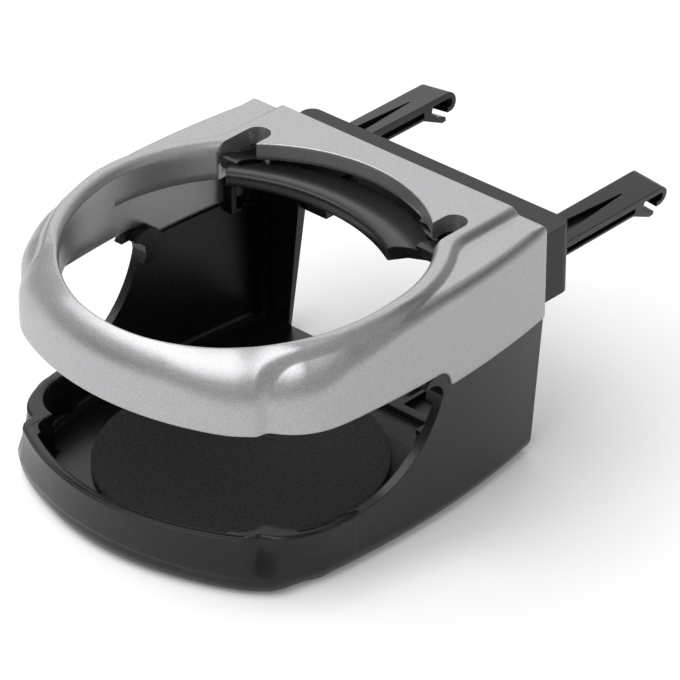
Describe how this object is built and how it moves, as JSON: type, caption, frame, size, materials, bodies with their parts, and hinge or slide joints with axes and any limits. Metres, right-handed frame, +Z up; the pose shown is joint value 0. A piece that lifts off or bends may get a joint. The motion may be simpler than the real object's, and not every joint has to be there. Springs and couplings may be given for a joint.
{
  "type": "vent-mounted can holder",
  "caption": "Can holder for a car air vent: silver ring cover over an open black basket with a foam pad, sprung rear flap, two turning vent arms and a sliding foot.",
  "frame": {"origin": "on the flat underside of the basket, on its middle line, 1.4 mm in front of the axis of the can well", "axes": "+X across the holder towards its right arm seen from the front, +Y back towards the vent, +Z up, along the axis of the can well"},
  "size_m": [0.0882, 0.1367, 0.056],
  "materials": {
    "silver_cover": "satin silver paint with a fine metallic grain",
    "black_basket": "satin outside, glossy inside",
    "foam_pad": "dark speckled foam",
    "black_flap": "satin",
    "steel_parts": "zinc plated",
    "spring_wire": "drawn wire",
    "black_housing": "fine moulded texture",
    "black_arm": "fine moulded texture",
    "black_foot": "satin",
    "rubber_tip": "matte"
  },
  "bodies": {
    "holder": {"cover": "silver_cover", "basket": "black_basket", "pad": "foam_pad", "flap_rod": "steel_parts", "housing": "black_housing", "left_washer": "steel_parts", "right_washer": "steel_parts", "housing_screws": "steel_parts", "cover_screws": "steel_parts", "foot_plate": "black_foot", "foot_screws": "steel_parts"},
    "flap": {"flap": "black_flap", "flap_spring": "spring_wire"},
    "left_arm": {"left_arm": "black_arm", "left_cap": "black_arm"},
    "right_arm": {"right_arm": "black_arm", "right_cap": "black_arm"},
    "foot": {"foot": "black_foot", "foot_tip": "rubber_tip"}
  },
  "joints": [
    {"name": "flap_hinge", "type": "hinge", "parent": "holder", "child": "flap", "pos_m": [0, 0.0342, 0.0486], "axis": [1, 0, 0], "range_deg": [0, 85], "stiffness_Nm_per_rad": 0.012, "springref_deg": -20.05},
    {"name": "left_arm_turn", "type": "hinge", "parent": "holder", "child": "left_arm", "pos_m": [-0.0296, 0.0598, 0.0403], "axis": [0, 1, 0], "range_deg": [-83, 7]},
    {"name": "right_arm_turn", "type": "hinge", "parent": "holder", "child": "right_arm", "pos_m": [0.0296, 0.0598, 0.0403], "axis": [0, 1, 0], "range_deg": [-7, 83]},
    {"name": "foot_slide", "type": "slide", "parent": "holder", "child": "foot", "axis": [0, 1, 0], "range_m": [0, 0.012]}
  ]
}
